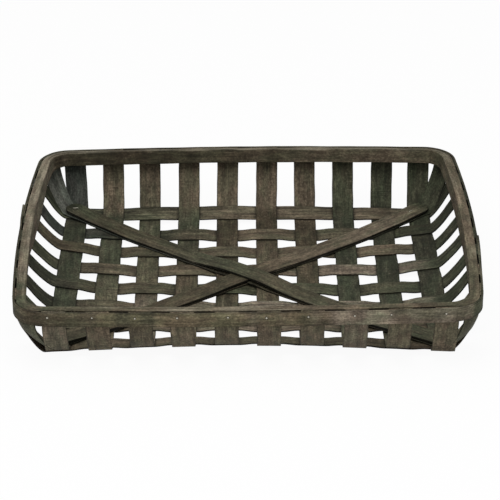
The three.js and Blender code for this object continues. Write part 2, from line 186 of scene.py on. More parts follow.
# The same for a row, with its left and right ends, and last the bow of its middle to the back.
ROW_STRAYS = [
    (3.4, -0.4, 0.3, -0.2, 0.4, -1.4),
    (0.4, 0.5, 0.0, 2.2, -0.3, -2.7),
    (2.0, 0.0, -0.9, 0.0, -0.2, -2.0),
    (-0.2, 0.3, 0.2, 0.6, -0.1, 0.9),
    (-1.5, -0.2, 0.4, -3.4, 0.0, 2.8),
    (0.6, -0.6, 0.6, 0.0, 0.1, 2.0),
    (1.0, -0.1, -1.1, -1.2, -0.8, 2.7),
    (0.1, 0.0, 0.0, -0.3, 1.1, 3.8),
]
# Where along a brace its stains are plain, from its front end, and the stains. 1 is the brace to
# the back right, and -1 the one to the back left.
BRACE_STAINS = {
    1: (
        (0, "fern"), (0.14, "bark"), (0.5, "bark"), (0.6, "umber"),
        (0.92, "oak"), (0.955, "umber"), (0.985, "fern"),
    ),
    -1: (
        (0.2, "moss"), (0.4, "olive"), (0.6, "moss"),
        (0.85, "bark"), (0.94, "moss"), (0.98, "charcoal"),
    ),
}
# The stains of a corner splint, from its front end. The pale pewter at the back left end is
# partly painted light, brightening that steep end where it lies in shade.
CORNER_STAINS = {
    1: "moss bark olive fern fern",
    -1: "moss bark olive pewter pewter",
}
# Where along the bar its stains are plain, the stains, and how far it is rubbed. It runs clockwise
# from its joint at the back right: right side, front, left side and back.
BAR_STAINS = (
    (0.02, "olive", 0.4), (0.05, "olive", 0.45), (0.1, "umber", 0.35), (0.2, "umber", 0.25),
    (0.25, "olive", 0.1), (0.265, "olive", 0.0), (0.29, "bark", 0.0), (0.31, "umber", 0.0),
    (0.34, "umber", 0.2), (0.38, "umber", 0.6), (0.41, "umber", 0.6), (0.45, "umber", 0.55),
    (0.5, "olive", 0.2), (0.53, "moss", -0.2), (0.55, "umber", 0.45), (0.62, "oak", 0.5),
    (0.72, "oak", 0.45), (0.76, "peat", 0.5), (0.79, "peat", 0.5), (0.86, "bark", 0.6),
    (0.92, "umber", 0.6),
)
# A brace's turn, how much further out its front and back tips lie, its shift to the right, and
# how far its front and back ends ride up.
BRACE_STRAYS = {1: (0.001, 3.0, 3.0, 0.9, 1.5, 4.0), -1: (-0.0004, 1.5, 3.0, 0.0, 1.5, 4.0)}


def shade(red, green, blue):
    """A stain as linear light, from its shade on a colour card with steps from 0 to 255."""
    c = np.array([red, green, blue]) / 255
    return np.where(c <= 0.04045, c / 12.92, ((c + 0.055) / 1.055) ** 2.4)


STAINS = {
    "driftwood": shade(128, 121, 105),
    "ash": shade(108, 100, 88),
    "oak": shade(99, 91, 78),
    "tan": shade(97, 89, 71),
    "umber": shade(89, 81, 67),
    "olive": shade(77, 72, 58),
    "bark": shade(70, 64, 51),
    "moss": shade(67, 67, 53),
    "fern": shade(60, 62, 49),
    "charcoal": shade(53, 54, 43),
    "soot": shade(47, 48, 38),
    "peat": shade(62, 56, 44),
    "slate": shade(62, 64, 60),
    "pewter": shade(90, 93, 86),
}
# Where along a splint its five stains are plain, as a share of its length.
STAIN_STOPS = (0.12, 0.26, 0.5, 0.78, 0.87)
# The back row is streaked. It is darker toward its back edge and paler toward its front.
STREAKED_ROW = 1
STREAKED_FADE = 0.22
# Painted shade: how dark a splint is along the edges of what it goes under, and how far from them.
CREVICE_DARK = 0.6
CREVICE_REACH = 2.2
# Painted shade: how dim the thin edges of a splint and of a brace are, and a brace's underside.
SPLINT_EDGE_SHADE = 0.45
BRACE_EDGE_SHADE = 0.15
BRACE_UNDER_SHADE = 0.6
# How far apart two boards lie in the wood that their grain is cut from.
GRAIN_SHIFT = 137.0
# The stain of each stake's front wall, of its base from front to back, and of its back wall.
# It is partly painted light: stakes 2 to 7 are lighter on their back walls, where the light
# falls, and darker on the base at their foot, as painted shade.
STAKE_STAINS = [
    "oak charcoal fern charcoal slate",
    "umber umber moss fern umber",
    "olive ash olive moss umber",
    "umber umber bark fern umber",
    "umber moss bark peat umber",
    "umber bark umber peat umber",
    "umber oak bark peat umber",
    "oak fern fern charcoal moss",
    "umber fern charcoal charcoal fern",
    "umber fern charcoal charcoal fern",
]
# The same for each row, from left to right.
ROW_STAINS = [
    "fern moss umber umber soot",
    "slate charcoal umber moss charcoal",
    "bark olive umber umber fern",
    "moss umber umber ash fern",
    "charcoal olive moss moss fern",
    "charcoal umber ash ash fern",
    "moss umber oak peat umber",
    "umber umber olive peat umber",
]

# Half of the base, how far in the splints' middle and the bar lie in the rim, and half of the rim.
BASE_X = ((STAKES - 1) * PITCH + SPLINT_WIDTH) / 2
BASE_Y = ((ROWS - 1) * PITCH + SPLINT_WIDTH) / 2
SPLINT_OFFSET = HOOP_THICK + RIM_CLEARANCE + SPLINT_THICK / 2
BAR_OFFSET = SPLINT_OFFSET + SPLINT_THICK / 2 + RIM_CLEARANCE
RIM_X = BASE_X + LEAN_LONG + SPLINT_OFFSET
RIM_Y = BASE_Y + LEAN_SHORT + SPLINT_OFFSET
WEAVE_HALF = SPLINT_THICK + CLEARANCE / 2
DIAGONAL = atan2(ROWS - 1, STAKES - 1)
CORNER_REACH = hypot(STAKES - 1, ROWS - 1) * PITCH / 2
BRACE_REACH = CORNER_REACH + BRACE_OVERHANG


# Finishes


class Value:
    """A shader value, on which Python's arithmetic adds Math nodes."""

    def __init__(self, finish, socket):
        self.finish = finish
        self.socket = socket

    def math(self, operation, first, second):
        values = {0: first, 1: second}
        return self.finish.node("ShaderNodeMath", {"operation": operation}, values)

    def __add__(self, other):
        return self.math("ADD", self, other)

    __radd__ = __add__

    def __sub__(self, other):
        return self.math("SUBTRACT", self, other)

    def __rsub__(self, other):
        return self.math("SUBTRACT", other, self)

    def __mul__(self, other):
        return self.math("MULTIPLY", self, other)

    __rmul__ = __mul__

    def __rpow__(self, other):
        return self.math("POWER", other, self)


class Finish:
    """The nodes of a procedural material or world."""

    def __init__(self, owner):
        owner.use_nodes = True
        self.owner = owner
        self.nodes = owner.node_tree.nodes
        self.links = owner.node_tree.links
        self.nodes.clear()

    def node(self, kind, settings, values, out=0):
        """Adds a node with its settings, then the values or links of its sockets."""
        node = self.nodes.new(kind)
        for key, setting in settings.items():
            setattr(node, key, setting)
        for key, value in values.items():
            if isinstance(value, Value):
                self.links.new(value.socket, node.inputs[key])
            else:
                node.inputs[key].default_value = value
        return Value(self, node.outputs[out]) if len(node.outputs) else None

    def attribute(self, name, out="Fac"):
        settings = {"attribute_name": name, "attribute_type": "GEOMETRY"}
        return self.node("ShaderNodeAttribute", settings, {}, out)

    def stretched(self, vector, scale):
        values = {0: vector, 1: scale}
        return self.node("ShaderNodeVectorMath", {"operation": "MULTIPLY"}, values, "Vector")

    def noise(self, vector, scale, detail=2.0, roughness=0.5):
        values = {
            "Vector": self.stretched(vector, scale),
            "Scale": 1.0,
            "Detail": detail,
            "Roughness": roughness,
        }
        return self.node("ShaderNodeTexNoise", {}, values, "Fac")

    def spots(self, vector, scale):
        values = {"Vector": self.stretched(vector, scale), "Scale": 1.0}
        return self.node("ShaderNodeTexVoronoi", {"feature": "F1"}, values, "Distance")

    def between(self, value, low, high, start=0.0, end=1.0):
        """Goes smoothly from start to end as the value goes from low to high."""
        values = {"Value": value, 1: low, 2: high, 3: start, 4: end}
        settings = {"interpolation_type": "SMOOTHSTEP"}
        return self.node("ShaderNodeMapRange", settings, values, "Result")

    def mixed(self, factor, first, second, blend="MIX"):
        settings = {"data_type": "RGBA", "blend_type": blend, "clamp_factor": True}
        return self.node("ShaderNodeMix", settings, {0: factor, 6: first, 7: second}, 2)

    def dimmed(self, colour, by):
        settings = {"operation": "SCALE"}
        return self.node("ShaderNodeVectorMath", settings, {0: colour, "Scale": by}, "Vector")

    def bump(self, height, distance):
        values = {"Strength": 0.5, "Distance": distance, "Height": height}
        return self.node("ShaderNodeBump", {}, values, "Normal")

    def ray(self, kind):
        return self.node("ShaderNodeLightPath", {}, {}, f"Is {kind} Ray")

    def surface(self, shader):
        self.node("ShaderNodeOutputMaterial", {}, {"Surface": shader})
        return self.owner


def weathered_wood(name, streaks=1.0, saw=1.0, hue=0.7, dark_edge=0.5):
    """Stained, rough sawn wood. A board carries where on it a point lies, its stain, how far the
    point is from the board's long edge, where painted shade darkens it, and how much it is rubbed."""
    wood = Finish(bpy.data.materials.new(name))
    grain = wood.attribute("grain", "Vector")
    stain = wood.attribute("stain", "Color")
    edge = wood.attribute("edge")
    rub = wood.attribute("rub")

    fibre = wood.noise(grain, (0.03, 1.0, 1.0), roughness=0.65)
    streak = wood.noise(grain, (0.009, 0.17, 0.17), roughness=0.6)
    cuts = wood.noise(grain, (0.3, 0.03, 0.1), roughness=0.6)
    cut_here = wood.between(wood.noise(grain, (0.015, 0.04, 0.04)), 0.46, 0.66)
    speck = wood.noise(grain, (0.24, 0.34, 0.34), roughness=0.7)
    patch = wood.noise(grain, (0.018, 0.04, 0.04), detail=3.0, roughness=0.65)
    cloud = wood.noise(grain, (0.04, 0.075, 0.075))
    fleck = wood.between(wood.spots(grain, (0.09, 0.2, 0.2)), 0.06, 0.17, 1.0, 0.0)
    sparse = wood.between(cloud, 0.5, 0.62)

    strength = (
        (fibre - 0.5) * (1.9 * streaks)
        + (streak - 0.5) * (2.1 * streaks)
        + (cuts - 0.5) * cut_here * (2.8 * saw)
        + (speck - 0.5) * 3.2
        + (cloud - 0.5) * 2.4
        # Painted shade: darker within 2 mm of a board's long edges.
        - wood.between(edge, 0.0, 2.0, 1.5 * dark_edge, 0.0)
        - fleck * sparse * 0.9
    )
    redder = wood.mixed(1.0, stain, (1.08, 0.985, 0.96, 1.0), "MULTIPLY")
    greener = wood.mixed(1.0, stain, (0.9, 1.0, 0.88, 1.0), "MULTIPLY")
    turned = wood.mixed(wood.between(patch, 0.38, 0.62), greener, redder)
    toned = wood.dimmed(wood.mixed(hue, stain, turned), 2.0 ** strength)
    dusty = wood.between(speck + (fibre - 0.5) * 0.8, 0.66, 0.8) * wood.between(patch, 0.48, 0.6)
    dusted = wood.mixed(dusty * 0.4, toned, (*STAINS["driftwood"], 1.0))
    rubbed = wood.between(rub + (fibre - 0.5) * 0.9 + (streak - 0.5) * 1.2, 0.3, 0.95)
    bare = wood.dimmed(STAINS["driftwood"], 2.0 ** (strength * 0.6))
    coated = wood.mixed(rubbed * 0.8, dusted, bare)

    height = fibre * 0.4 + cuts * cut_here * 0.6 + streak * 0.6 + speck * 0.4 - fleck * sparse * 0.5
    values = {
        "Base Color": coated,
        "Roughness": 0.78 + (fibre - 0.5) * 0.2 + (patch - 0.5) * 0.2,
        "Specular IOR Level": 0.15,
        "Normal": wood.bump(height, 0.6 * MM),
    }
    return wood.surface(wood.node("ShaderNodeBsdfPrincipled", {}, values))


def dulled_steel(name):
    """Bare steel that has dulled. It is bright where it was struck and dark round its edge."""
    steel = Finish(bpy.data.materials.new(name))
    place = steel.node("ShaderNodeTexCoord", {}, {}, "Object")
    struck = steel.attribute("struck")
    dents = steel.noise(place, (900.0, 900.0, 900.0))
    clean = steel.between(struck + (dents - 0.5) * 0.5, 0.35, 0.65)
    metal = steel.mixed(clean, (0.05, 0.042, 0.032, 1.0), (0.5, 0.47, 0.39, 1.0))
    values = {
        "Base Color": metal,
        "Metallic": 0.3 + clean * 0.5,
        "Roughness": 0.38 + dents * 0.3,
        "Normal": steel.bump(dents, 0.2 * MM),
    }
    return steel.surface(steel.node("ShaderNodeBsdfPrincipled", {}, values))


STAKE_WOOD = weathered_wood("rough_sawn_stake")
ROW_WOOD = weathered_wood("rough_sawn_row", streaks=1.2, saw=0.7)
STREAKED_WOOD = weathered_wood("streaked_row", streaks=2.2, saw=0.3, hue=0.4)
CORNER_WOOD = weathered_wood("mottled_corner_splint", streaks=0.6, saw=0.5, hue=0.5)
BRACE_WOOD = weathered_wood("sawn_brace", saw=0.3, dark_edge=0.2)
BAR_WOOD = weathered_wood("rubbed_rim_bar", saw=0.3, dark_edge=0.0)
HOOP_WOOD = weathered_wood("long_grained_hoop", saw=0.5, dark_edge=0.4)
NAIL_STEEL = dulled_steel("dulled_nail_steel")


# Shapes


def smooth(t):
    t = np.clip(t, 0, 1)
    return t * t * (3 - 2 * t)


def mix(a, b, t):
    return a + (b - a) * t


def stretch(value, start, rise, end, fall):
    """Rises from 0 to 1 after the start, and falls to 0 again after the end."""
    return smooth((value - start) / rise) * (1 - smooth((value - end) / fall))


def wander(along, rng, reach, spans):
    """A smooth random line made of waves of about these lengths."""
    waves = 0
    for span in spans:
        phase, scale = rng.uniform(0, 2 * pi), rng.uniform(0.8, 1.25)
        waves = waves + np.sin(2 * pi * along / (span * scale) + phase)
    return waves * reach / len(spans)


def rim_arcs():
    """The rim's eight tangent arcs from the back side clockwise: middle, radius, facing, start
    along the rim, and length."""
    s1, c1 = sin(LONG_SIDE_TURN), cos(LONG_SIDE_TURN)
    s2, c2 = sin(SHORT_SIDE_TURN), cos(SHORT_SIDE_TURN)
    r = CORNER_RADIUS
    along = RIM_X - r * (c2 - s1)
    deep = RIM_Y - r * (c1 - s2)
    det = s1 * s2 - (1 - c2) * (1 - c1)
    long = (along * s2 - (1 - c2) * deep) / det
    short = (s1 * deep - (1 - c1) * along) / det
    x, y = (long - r) * s1, RIM_Y - long + (long - r) * c1
    turn = pi / 2 - LONG_SIDE_TURN - SHORT_SIDE_TURN
    arcs = [
        (0, RIM_Y - long, long, 2 * LONG_SIDE_TURN),
        (x, y, r, turn),
        (RIM_X - short, 0, short, 2 * SHORT_SIDE_TURN),
        (x, -y, r, turn),
        (0, long - RIM_Y, long, 2 * LONG_SIDE_TURN),
        (-x, -y, r, turn),
        (short - RIM_X, 0, short, 2 * SHORT_SIDE_TURN),
        (-x, y, r, turn),
    ]
    facing, start, table = -LONG_SIDE_TURN, -long * LONG_SIDE_TURN, []
    for x, y, radius, turn in arcs:
        table.append((x, y, radius, facing, start, radius * turn))
        facing += turn
        start += radius * turn
    return np.array(table)


# Which of the arcs are the sides, and the two corners at the front.
BACK, RIGHT, FRONT, LEFT = 0, 2, 4, 6
FRONT_RIGHT, FRONT_LEFT = 3, 5
ARCS = rim_arcs()
CORNER_X, CORNER_Y = ARCS[1, :2]
RIM_START = ARCS[0, 4]
RIM_AROUND = ARCS[:, 5].sum()


def rim_line(distance, inset):
    """Points at a distance along the rim from the middle of the back, clockwise, and inset."""
    d = (distance - RIM_START) % RIM_AROUND + RIM_START
    arc = np.clip(np.searchsorted(ARCS[:, 4], d, side="right") - 1, 0, 7)
    x, y, radius, facing, start, _ = np.moveaxis(ARCS[arc], -1, 0)
    turn = facing + (d - start) / radius
    reach = radius - inset
    return x + np.sin(turn) * reach + RIM_CENTRE[0], y + np.cos(turn) * reach + RIM_CENTRE[1]


def rim_side(v, inset, side_turn, side, corner_v, corner_w):
    """How far the rim lies from the middle of the basket at a place along one of its sides."""
    middle, radius = side
    on_side = np.abs(v) <= (radius - inset) * sin(side_turn)
    centre = np.where(on_side, 0, corner_v)
    start = np.where(on_side, middle, corner_w)
    reach = np.where(on_side, radius, CORNER_RADIUS) - inset
    return start + np.sqrt(np.maximum(reach**2 - (np.abs(v) - centre) ** 2, 0))


def rim_depth(x, inset):
    return rim_side(x, inset, LONG_SIDE_TURN, ARCS[BACK, 1:3], CORNER_X, CORNER_Y)


def rim_length(y, inset):
    side = (ARCS[RIGHT, 0], ARCS[RIGHT, 2])
    return rim_side(y, inset, SHORT_SIDE_TURN, side, CORNER_Y, CORNER_X)


def rim_tilt(x, y):
    """How much higher than level the rim is at a place."""
    u, v = x / TILT_SPANS[0], y / TILT_SPANS[1]
    crown = np.where(y < 0, CROWN_FRONT, CROWN_BACK) * (1 - u * u) * np.minimum(v * v, 1)
    return TILT_RIGHT * u + TILT_BACK * v - TILT_TWIST * u * v + crown


def lift(x, y):
    """Height of the weave's middle."""
    u, v = np.abs(x) / BASE_X, np.abs(y) / BASE_Y
    rise_x = (np.maximum(0, u - FLAT_SHARE) / (1 - FLAT_SHARE)) ** LIFT_POWER
    rise_y = (np.maximum(0, v - FLAT_SHARE) / (1 - FLAT_SHARE)) ** LIFT_POWER
    half = CORNER_LIFT / 2
    side = np.where(x < 0, LEFT_LIFT, RIGHT_LIFT)
    end = np.where(y < 0, FRONT_LIFT, BACK_LIFT)
    at_side = half + (side - half) * (1 - np.minimum(v, 1) ** 2)
    at_end = half + (end - half) * (1 - np.minimum(u, 1) ** 2)
    return WEAVE_HALF + rise_x * at_side + rise_y * at_end


def weave_wave(v, crossings, width, first):
    """1 where a splint is on top and -1 where it is under, with a smooth change between."""
    k = v / PITCH + (crossings + 1) / 2
    before = np.clip(np.floor(k), 1, crossings)
    after = np.clip(before + 1, 1, crossings)
    flat = width / 2 + FACET_MARGIN
    change = smooth(((k - before) * PITCH - flat) / (PITCH - 2 * flat))
    sign = lambda crossing: np.where((crossing - 1) % 2 == 0, first, -first)
    return mix(sign(before), sign(after), change)


def points(x, y, z):
    return np.stack(np.broadcast_arrays(x, y, z), -1)


def unit(v):
    return v / np.linalg.norm(v, axis=-1, keepdims=True)


def normals(middle):
    return unit(np.cross(np.gradient(middle, axis=0), np.gradient(middle, axis=1)))


def lines_across(width, arris, inner):
    """Places across a board, closer together where its arrises are rounded."""
    near = arris * ARRIS_STEPS - width / 2
    middle = np.linspace(near[-1], -near[-1], inner + 1)
    return np.concatenate([near[:-1], middle, -near[::-1][1:]])


def pinch(edge, arris):
    """How far a rounded arris takes a board's face in, at a distance from the edge."""
    e = np.clip(edge, 0, arris)
    return arris - np.sqrt(np.maximum(arris**2 - (arris - e) ** 2, 0))


def with_ends(middle, arris):
    """Adds stations close to a board's two ends, where they are rounded."""
    near = arris * np.array([0.1, 0.4, 1])[:, None, None]
    first = middle[:1] + unit(middle[1:2] - middle[:1]) * near
    last = middle[-1:] + unit(middle[-2:-1] - middle[-1:]) * near[::-1]
    return np.concatenate([middle[:1], first, middle[1:-1], last, middle[-1:]])


def lengths(middle):
    """Distance of each station from a board's start, along its middle."""
    line = middle[:, middle.shape[1] // 2]
    steps = np.linalg.norm(np.diff(line, axis=0), axis=1)
    return np.concatenate([[0], np.cumsum(steps)])


def only(kind, items):
    return [item for item in items if isinstance(item, kind)]


def placed(name, data):
    thing = bpy.data.objects.new(name, data)
    bpy.context.scene.collection.objects.link(thing)
    return thing


def meshed(work, name, material):
    mesh = bpy.data.meshes.new(name)
    work.to_mesh(mesh)
    work.free()
    mesh.materials.append(material)
    return placed(name, mesh)


def finished(work, name, node, material):
    """Makes a piece of a finished bmesh. It stands for the CAD node, if there is one."""
    piece = meshed(work, name, material)
    piece.data.shade_smooth()
    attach(piece, "root")
    if node:
        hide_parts(node)


def board(name, node, material, middle, half, across, stain, rub, shift, dark):
    """A bent board: a grid laid on its middle surface and extruded, half its thickness to each
    side. The arrays have a row for each station along it and a column for each line across. dark
    dims the stain of the first and the second side, which paints shade on thin edges, undersides
    and the faces in the rim's slot."""
    count = middle.shape[:2]
    out = normals(middle) * half[..., None]
    along = lengths(middle)
    edge = np.minimum(across - across[:, :1], across[:, -1:] - across)
    stains = [stain * np.broadcast_to(dim, count)[..., None] for dim in dark]
    work = bmesh.new()
    grain_mark = work.verts.layers.float_vector.new("grain")
    stain_and_shade_mark = work.verts.layers.float_color.new("stain")
    edge_mark = work.verts.layers.float.new("edge")
    rub_mark = work.verts.layers.float.new("rub")
    bmesh.ops.create_grid(work, x_segments=count[0] - 1, y_segments=count[1] - 1, size=1)
    extruded = bmesh.ops.extrude_face_region(work, geom=work.faces[:])["geom"]
    upper = set(only(bmesh.types.BMVert, extruded))
    for vertex in work.verts:
        i = round((vertex.co.x + 1) / 2 * (count[0] - 1))
        k = round((vertex.co.y + 1) / 2 * (count[1] - 1))
        side = 1 if vertex in upper else -1
        vertex.co = (middle[i, k] + side * out[i, k]) * MM
        vertex[grain_mark] = (along[i] + shift, across[i, k] + shift, side * half[i, k] + shift)
        vertex[stain_and_shade_mark] = (*stains[side > 0][i, k], 1)
        vertex[edge_mark] = edge[i, k]
        vertex[rub_mark] = rub[i, k]
    finished(work, name, node, material)


def stain_along(stops, names, along, across, rng):
    """Runs from stain to stain along a board, in soft uneven stretches."""
    colours = np.array([STAINS[name] for name in names])
    share = along / along[-1]
    at = share + wander(along, rng, 0.035, (210, 97, 53))
    line = np.stack([np.interp(at, stops, colours[:, c]) for c in range(3)], -1)
    tone = 1 + wander(along, rng, 0.1, (160, 71, 40)) + rng.uniform(-0.04, 0.04)
    return np.repeat((line * tone[:, None])[:, None], across, axis=1)


def painted_crevice_shade(place, crossings, half):
    """Painted shade: a splint is darker along the edges of what it goes under, where shade falls in
    the crevice.
    """
    depth = [np.exp(-(((np.abs(place - c) - half) / CREVICE_REACH) ** 2)) for c in crossings]
    return 1 - CREVICE_DARK * np.max(depth, axis=0)


# Splints


def wall(foot, outward, head, ease, drop):
    """Stations of a splint from the edge of the base up into the rim."""
    tilt = rim_tilt(head[:, 0], head[:, 1])
    top = RIM_TOP - RIM_HEIGHT - WALL_LEAD + tilt
    at = lambda z: points(head[:, 0], head[:, 1], z)
    t = np.linspace(0, 1, WALL_STATIONS + 1)[1:, None, None]
    bend = (
        (1 - t) ** 3 * foot
        + 3 * (1 - t) ** 2 * t * (foot + outward * ease)
        + 3 * (1 - t) * t**2 * at(top - WALL_EASE)
        + t**3 * at(top)
    )
    rise = [at(mix(top, RIM_TOP + tilt - drop, share)) for share in (0.35, 0.7, 1)]
    return np.concatenate([bend, np.array(rise)])


def splint(
    name, node, material, base, heads, across, stains, seed,
    eases=(WALL_EASE, WALL_EASE), under=None, fade=0,
):
    """A splint from rim to rim. base has its stations on the base, heads its two ends, and eases
    how soft their bends are. under has the direction in which it runs, the crossings where it
    goes under, and their half width; along their edges it gets painted shade. fade darkens the
    stain toward one long edge and lightens it toward the other."""
    rng = np.random.default_rng(seed)
    drops = [rng.uniform(0.5, 0.9) + rng.uniform(-0.4, 0.4) * across / across[-1] for _ in (0, 1)]
    start = wall(base[0], unit(base[0] - base[1]), heads[0], eases[0], drops[0])
    end = wall(base[-1], unit(base[-1] - base[-2]), heads[1], eases[1], drops[1])
    middle = with_ends(np.concatenate([start[::-1], base, end]), SPLINT_END_ARRIS)
    along = lengths(middle)
    side = unit(middle[:, -1:] - middle[:, :1])
    share = across / across[-1]
    stray = (
        wander(along, rng, BOARD_STRAY, (130, 61, 37))[:, None] * (1 - share) / 2
        + wander(along, rng, BOARD_STRAY, (130, 61, 37))[:, None] * (1 + share) / 2
    )
    middle = middle + side * stray[..., None]
    from_rim = np.minimum(along, along[-1] - along)
    free = stretch(from_rim, *WALL_FREE)
    warp = wander(along, rng, WALL_WARP, (75, 49))[:, None] + WALL_CUP * (share**2 - 0.4)
    middle = middle + normals(middle) * (warp * free[:, None])[..., None]
    grid = np.broadcast_to(across, middle.shape[:2])
    edge = across[-1] - np.abs(grid)
    half = SPLINT_THICK / 2 - pinch(edge, SPLINT_ARRIS)
    half = np.minimum(half, SPLINT_THICK / 2 - pinch(from_rim, SPLINT_END_ARRIS)[:, None])
    stain = stain_along(STAIN_STOPS, stains.split(), along, len(across), rng)
    if under:
        direction, crossings, reach = under
        place = middle[:, middle.shape[1] // 2, direction]
        # Painted shade where it passes under the crossings.
        stain = stain * painted_crevice_shade(place, crossings, reach)[:, None, None]
    stain = stain * (1 - fade * share)[None, :, None]
    rub = np.broadcast_to(wander(along, rng, 0.12, (180, 83))[:, None], middle.shape[:2])
    # Painted shade on the splint's thin edges.
    sides = mix(SPLINT_EDGE_SHADE, 1, smooth(edge / 0.4))
    board(
        name, node, material, middle, half, grid, stain, rub, seed * GRAIN_SHIFT,
        (sides, sides),
    )


def stake_place(i, y):
    """Where the middle of a stake runs on the base."""
    stray, _, _, turn, _ = STAKE_STRAYS[i - 1]
    return (i - (STAKES + 1) / 2) * PITCH + stray + turn * y / BASE_Y


def row_place(j, x):
    """Where the middle of a row runs on the base."""
    stray, _, _, turn, _, bow = ROW_STRAYS[j - 1]
    even = ((ROWS + 1) / 2 - j) * PITCH
    return even + stray + turn * x / BASE_X + bow * (0.5 - (x / BASE_X) ** 2)


def row_level(y):
    """How far the row at a place goes over and under the weave's middle."""
    places = [((ROWS + 1) / 2 - j) * PITCH for j in range(ROWS, 0, -1)]
    return np.interp(y, places, ROW_LEVELS[::-1])


def head(x, y):
    """The end of a splint, in the rim."""
    return np.stack([x + RIM_CENTRE[0], y + RIM_CENTRE[1]], -1)


def stake(i):
    _, front, back, turn, wider = STAKE_STRAYS[i - 1]
    c = lines_across(STAKE_WIDTH + wider, SPLINT_ARRIS, 5)
    y = np.linspace(-BASE_Y, BASE_Y, STAKE_STATIONS)[:, None]
    x = stake_place(i, y) + c
    level = SPLINT_THICK + CLEARANCE - row_level(y)
    wave = weave_wave(y, ROWS, ROW_WIDTH, 1 if (i + ROWS) % 2 else -1)
    base = points(x, y, lift(x, y) + wave * level)
    heads = []
    for way, shift in ((-1, front), (1, back)):
        at = stake_place(i, 0) + c + shift + turn * way
        slack = BAR_SLACK / 2 if way < 0 else 0
        heads.append(head(at, way * rim_depth(at, SPLINT_OFFSET + slack)))
    middle_x = stake_place(i, 0)
    crossings = [row_place(j, middle_x) for j in range(1, ROWS + 1) if (i + j) % 2 == 0]
    splint(
        f"stake_{i}_splint", f"stake_{i}", STAKE_WOOD, base, heads, c,
        STAKE_STAINS[i - 1], i, under=(1, crossings, ROW_WIDTH / 2),
    )


def row(j):
    _, left, right, _, wider, _ = ROW_STRAYS[j - 1]
    c = lines_across(ROW_WIDTH + wider, SPLINT_ARRIS, 5)
    x = np.linspace(-BASE_X, BASE_X, ROW_STATIONS)[:, None]
    y = row_place(j, x) + c
    wave = weave_wave(x, STAKES, STAKE_WIDTH, -1 if (1 + j) % 2 else 1)
    base = points(x, y, lift(x, y) + wave * ROW_LEVELS[j - 1])
    heads = []
    for way, shift in ((-1, left), (1, right)):
        at = row_place(j, way * BASE_X) + c + shift
        heads.append(head(way * rim_length(at, SPLINT_OFFSET), at))
    middle_y = row_place(j, 0)
    crossings = [stake_place(i, middle_y) for i in range(1, STAKES + 1) if (i + j) % 2]
    wood, fade = (STREAKED_WOOD, STREAKED_FADE) if j == STREAKED_ROW else (ROW_WOOD, 0)
    splint(
        f"row_{j}_splint", f"row_{j}", wood, base, heads, c,
        ROW_STAINS[j - 1], 20 + j, under=(0, crossings, STAKE_WIDTH / 2), fade=fade,
    )


def diagonal(q, c, way, angle=DIAGONAL):
    """The place at a distance along a diagonal and across it. way is 1 to the back right."""
    return way * (q * cos(angle) - c * sin(angle)), q * sin(angle) + c * cos(angle)


def crossed_half(width):
    """How far along one diagonal the other one reaches, from where they cross."""
    return (width / sin(2 * DIAGONAL) + width / abs(tan(2 * DIAGONAL))) / 2 + FACET_MARGIN


def corner_splint(way, over):
    """A corner splint lies on the weave, and its ends bend across as they go into the rim."""
    front, back = ("front_left", "back_right") if way > 0 else ("front_right", "back_left")
    ends = (CORNER_BENDS[front], CORNER_BENDS[back])
    foot = CORNER_REACH + CORNER_FOOT
    q = np.linspace(-foot - ends[0][0], foot + ends[1][0], CORNER_STATIONS)[:, None]
    c = lines_across(CORNER_WIDTH, SPLINT_ARRIS, 7)
    x, y = diagonal(q, c, way)
    hump = 1 - smooth((np.abs(q) - crossed_half(CORNER_WIDTH)) / (PITCH / 2))
    rise = (SPLINT_THICK + LAYER_GAP) * hump if over else 0
    base = points(x, y, lift(x, y) + WEAVE_HALF + LAYER_GAP + SPLINT_THICK / 2 + rise)
    inner = CORNER_RADIUS - SPLINT_OFFSET
    heads = []
    for end, (_, _, shift) in zip((-1, 1), ends):
        turn = LONG_SIDE_TURN + ARCS[1, 5] / CORNER_RADIUS / 2 - end * (c + shift) / inner
        x_out, y_out = CORNER_X + inner * np.sin(turn), CORNER_Y + inner * np.cos(turn)
        heads.append(head(end * way * x_out, end * y_out))
    name = f"corner_splint_{back}"
    splint(
        f"{name}_mottled", name, CORNER_WOOD, base, heads, c,
        CORNER_STAINS[way], 40 + way, eases=(ends[0][1], ends[1][1]),
    )


def brace_height(q, way, over, angle):
    """Height of a brace's middle. It rises over what it crosses, and at its ends."""
    _, front_out, back_out, _, front_rise, back_rise = BRACE_STRAYS[way]
    half_width = BRACE_WIDTH / 2
    sides = [lift(*diagonal(q, v, way, angle)) for v in (-half_width, 0, half_width)]
    hump = 1 - smooth((np.abs(q) - crossed_half(CORNER_WIDTH)) / BRACE_BOW)
    rise = SPLINT_THICK + LAYER_GAP + (BRACE_THICK + LAYER_GAP if over else 0)
    layer = WEAVE_HALF + 2 * LAYER_GAP + SPLINT_THICK + BRACE_THICK / 2
    front = front_rise * smooth((-q - BRACE_REACH - front_out) / BRACE_END_RUN + 1)
    back = back_rise * smooth((q - BRACE_REACH - back_out) / BRACE_END_RUN + 1)
    return np.max(sides, axis=0) + layer + rise * hump + front + back


